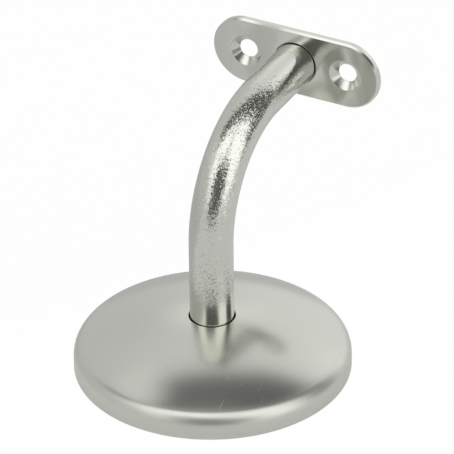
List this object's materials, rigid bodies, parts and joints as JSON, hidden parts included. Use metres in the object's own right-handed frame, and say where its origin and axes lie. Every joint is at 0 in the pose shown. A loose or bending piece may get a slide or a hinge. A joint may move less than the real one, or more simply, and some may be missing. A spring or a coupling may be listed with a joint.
{
  "type": "handrail bracket",
  "caption": "Wall bracket for a handrail: a bent round bar rises from a screwed wall flange under a domed round cover and ends in a flat saddle with countersunk screw holes.",
  "frame": {"origin": "centre of the round face that lies against the wall", "axes": "+Z straight out of the wall, +Y the way the arm bends towards the rail, X along the saddle's long side and the rail"},
  "size_m": [0.075, 0.089, 0.0772],
  "materials": {
    "bar_steel": "nickel-plated steel bar, semi-gloss with a fine orange peel",
    "flange_steel": "plain zinc-grey steel disc, hidden by the cover",
    "cover_steel": "satin, brushed after plating",
    "saddle_steel": "tumbled and polished, with soft edges"
  },
  "bodies": {
    "root": {"arm": "bar_steel", "wall_flange": "flange_steel", "cover_rosette": "cover_steel", "saddle_plate": "saddle_steel"}
  },
  "joints": []
}
